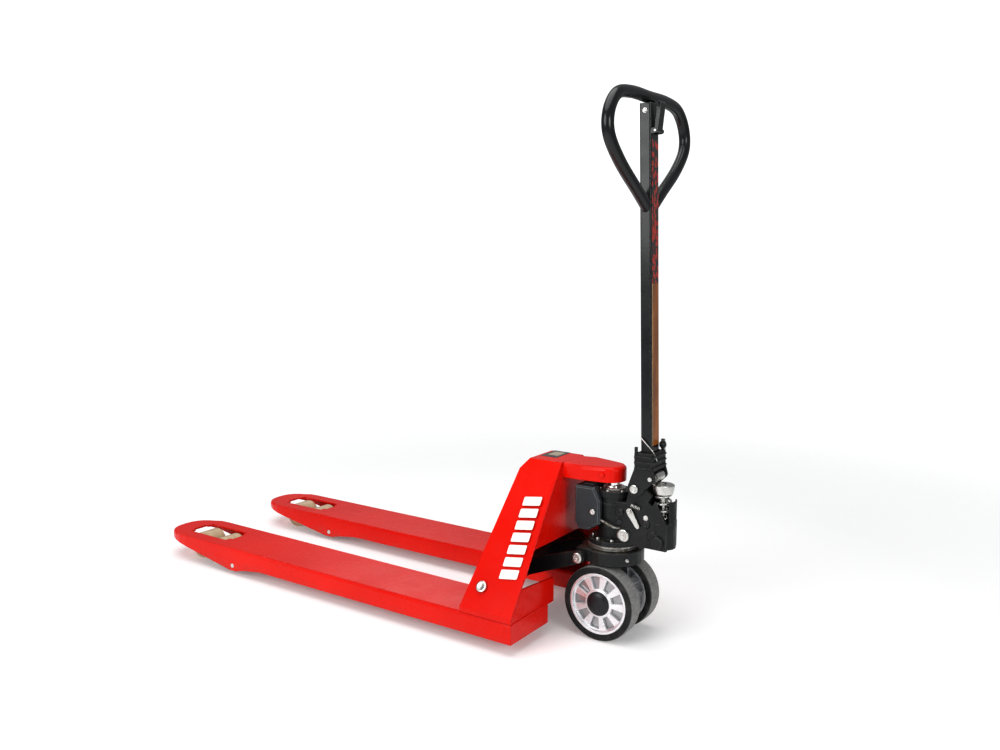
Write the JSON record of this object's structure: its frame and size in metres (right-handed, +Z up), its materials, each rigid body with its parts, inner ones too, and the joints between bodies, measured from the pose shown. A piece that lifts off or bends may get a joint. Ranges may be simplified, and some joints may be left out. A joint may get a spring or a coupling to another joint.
{
  "type": "pallet jack",
  "caption": "Hand pallet truck with hollow forks, tandem load rollers, a hand-pumped lift, steered wheels and an upright handle with a closed loop grip.",
  "frame": {"origin": "centre of the bounding box in plan, on the floor under the wheels", "axes": "+X from the fork tips to the handle, +Y to the right-hand fork seen from the handle, +Z up"},
  "size_m": [1.529, 0.54, 1.2591],
  "materials": {
    "red_paint": "glossy red paint",
    "black_casting": "black painted casting",
    "black_paint": "semi-gloss black paint",
    "grey_tank": "dark grey painted casting",
    "zinc": "zinc plated steel",
    "bearing_steel": "greasy bearing steel",
    "chrome": "hard chrome",
    "hub_alloy": "machined cast aluminium",
    "tyre_rubber": "solid black rubber, worn grey on the tread",
    "roller_urethane": "tan polyurethane",
    "cap_plastic": "black moulded plastic"
  },
  "bodies": {
    "base": {"base_yoke": "black_casting", "thrust_bearing": "bearing_steel", "yoke_pin_left": "zinc", "yoke_pin_right": "zinc"},
    "frame": {"fork_left": "red_paint", "fork_right": "red_paint", "side_plate_left": "red_paint", "side_plate_right": "red_paint", "load_wall": "red_paint", "top_plate": "red_paint", "front_wall": "red_paint", "sill_wall_left": "red_paint", "sill_wall_right": "red_paint", "nose": "red_paint", "piston_rod": "chrome", "rocker_shaft": "zinc", "shaft_bolt_left": "zinc", "shaft_bolt_right": "zinc", "fork_pin_left": "zinc", "fork_pin_right": "zinc"},
    "rocker": {"rocker": "black_casting"},
    "pump": {"pump_body": "black_casting", "oil_tank": "grey_tank", "tank_screw": "zinc", "cross_pin": "zinc", "steer_axle": "zinc", "spring_guard": "black_casting", "plunger_spring": "zinc"},
    "plunger": {"spring_cap": "zinc"},
    "release_arm": {"release_arm": "zinc"},
    "tiller": {"tiller_bracket": "black_casting", "tiller_bolt": "zinc", "handle_pole": "black_paint", "handle_loop": "black_paint", "lever_pin": "zinc"},
    "press_roller": {"press_roller": "zinc"},
    "hand_lever": {"hand_lever": "black_paint"},
    "pull_rod": {"pull_rod": "zinc"},
    "push_rod_left": {"push_rod_left": "black_casting"},
    "roller_frame_left": {"roller_frame_left": "black_casting", "bogie_pin_left": "zinc"},
    "bogie_left": {"bogie_left": "black_casting", "roller_axle_left_tip": "zinc", "roller_axle_left_heel": "zinc"},
    "roller_left_tip": {"load_roller_left_tip": "roller_urethane"},
    "roller_left_heel": {"load_roller_left_heel": "roller_urethane"},
    "wheel_left": {"wheel_hub_left": "hub_alloy", "tyre_left": "tyre_rubber", "hub_cap_left": "cap_plastic"},
    "push_rod_right": {"push_rod_right": "black_casting"},
    "roller_frame_right": {"roller_frame_right": "black_casting", "bogie_pin_right": "zinc"},
    "bogie_right": {"bogie_right": "black_casting", "roller_axle_right_tip": "zinc", "roller_axle_right_heel": "zinc"},
    "roller_right_tip": {"load_roller_right_tip": "roller_urethane"},
    "roller_right_heel": {"load_roller_right_heel": "roller_urethane"},
    "wheel_right": {"wheel_hub_right": "hub_alloy", "tyre_right": "tyre_rubber", "hub_cap_right": "cap_plastic"}
  },
  "joints": [
    {"name": "lift", "type": "slide", "parent": "base", "child": "frame", "axis": [0, 0, 1], "range_m": [0, 0.115]},
    {"name": "rocker_swing", "type": "hinge", "parent": "frame", "child": "rocker", "pos_m": [0.3935, 0, 0.137], "axis": [0, 1, 0], "range_deg": [0, 38.87]},
    {"name": "push_rod_left_slide", "type": "slide", "parent": "frame", "child": "push_rod_left", "axis": [-1, 0, 0], "range_m": [0, 0.0257]},
    {"name": "roller_frame_left_swing", "type": "hinge", "parent": "frame", "child": "roller_frame_left", "pos_m": [-0.4505, -0.19, 0.027], "axis": [0, -1, 0], "range_deg": [0, 47.34]},
    {"name": "bogie_left_pivot", "type": "hinge", "parent": "roller_frame_left", "child": "bogie_left", "pos_m": [-0.6025, -0.19, 0.037], "axis": [0, 1, 0], "range_deg": [0, 47.34]},
    {"name": "roller_left_tip_spin", "type": "hinge", "parent": "bogie_left", "child": "roller_left_tip", "pos_m": [-0.6475, -0.19, 0.037], "axis": [0, 1, 0], "continuous": true},
    {"name": "roller_left_heel_spin", "type": "hinge", "parent": "bogie_left", "child": "roller_left_heel", "pos_m": [-0.5575, -0.19, 0.037], "axis": [0, 1, 0], "continuous": true},
    {"name": "push_rod_right_slide", "type": "slide", "parent": "frame", "child": "push_rod_right", "axis": [-1, 0, 0], "range_m": [0, 0.0257]},
    {"name": "roller_frame_right_swing", "type": "hinge", "parent": "frame", "child": "roller_frame_right", "pos_m": [-0.4505, 0.19, 0.027], "axis": [0, -1, 0], "range_deg": [0, 47.34]},
    {"name": "bogie_right_pivot", "type": "hinge", "parent": "roller_frame_right", "child": "bogie_right", "pos_m": [-0.6025, 0.19, 0.037], "axis": [0, 1, 0], "range_deg": [0, 47.34]},
    {"name": "roller_right_tip_spin", "type": "hinge", "parent": "bogie_right", "child": "roller_right_tip", "pos_m": [-0.6475, 0.19, 0.037], "axis": [0, 1, 0], "continuous": true},
    {"name": "roller_right_heel_spin", "type": "hinge", "parent": "bogie_right", "child": "roller_right_heel", "pos_m": [-0.5575, 0.19, 0.037], "axis": [0, 1, 0], "continuous": true},
    {"name": "steering", "type": "hinge", "parent": "base", "child": "pump", "pos_m": [0.6075, 0, 0.2266], "axis": [0, 0, 1], "range_deg": [-90, 90]},
    {"name": "wheel_left_spin", "type": "hinge", "parent": "pump", "child": "wheel_left", "pos_m": [0.6075, -0.053, 0.09], "axis": [0, 1, 0], "continuous": true},
    {"name": "wheel_right_spin", "type": "hinge", "parent": "pump", "child": "wheel_right", "pos_m": [0.6075, 0.053, 0.09], "axis": [0, 1, 0], "continuous": true},
    {"name": "tiller_pivot", "type": "hinge", "parent": "pump", "child": "tiller", "pos_m": [0.6775, 0, 0.369], "axis": [0, 1, 0], "range_deg": [0, 70], "stiffness_Nm_per_rad": 12, "springref_deg": -34.38},
    {"name": "plunger_stroke", "type": "slide", "parent": "pump", "child": "plunger", "axis": [0, 0, -1], "range_m": [0, 0.0587], "deforming": ["plunger_spring"]},
    {"name": "press_roller_spin", "type": "hinge", "parent": "tiller", "child": "press_roller", "pos_m": [0.71668, 0, 0.39718], "axis": [0, 1, 0], "continuous": true},
    {"name": "hand_lever_pivot", "type": "hinge", "parent": "tiller", "child": "hand_lever", "pos_m": [0.69792, 0, 1.17096], "axis": [0, 1, 0], "range_deg": [0, 18]},
    {"name": "pull_rod_slide", "type": "slide", "parent": "tiller", "child": "pull_rod", "axis": [-0.0297, 0, 0.9996], "range_m": [0, 0.0078], "stiffness_N_per_m": 400},
    {"name": "release_arm_pivot", "type": "hinge", "parent": "pump", "child": "release_arm", "pos_m": [0.6655, -0.03, 0.313], "axis": [0, 1, 0], "range_deg": [0, 18]}
  ],
  "couplings": [
    {"joint": "rocker_swing", "follows": "lift", "rad_per_m": 5.8979},
    {"joint": "push_rod_left_slide", "follows": "lift", "ratio": 0.22274},
    {"joint": "roller_frame_left_swing", "follows": "lift", "rad_per_m": 7.1845},
    {"joint": "bogie_left_pivot", "follows": "lift", "rad_per_m": 7.1845},
    {"joint": "push_rod_right_slide", "follows": "lift", "ratio": 0.22274},
    {"joint": "roller_frame_right_swing", "follows": "lift", "rad_per_m": 7.1845},
    {"joint": "bogie_right_pivot", "follows": "lift", "rad_per_m": 7.1845},
    {"joint": "plunger_stroke", "follows": "tiller_pivot", "m_per_rad": 0.048},
    {"joint": "hand_lever_pivot", "follows": "pull_rod_slide", "rad_per_m": 40},
    {"joint": "release_arm_pivot", "follows": "pull_rod_slide", "rad_per_m": 36}
  ]
}
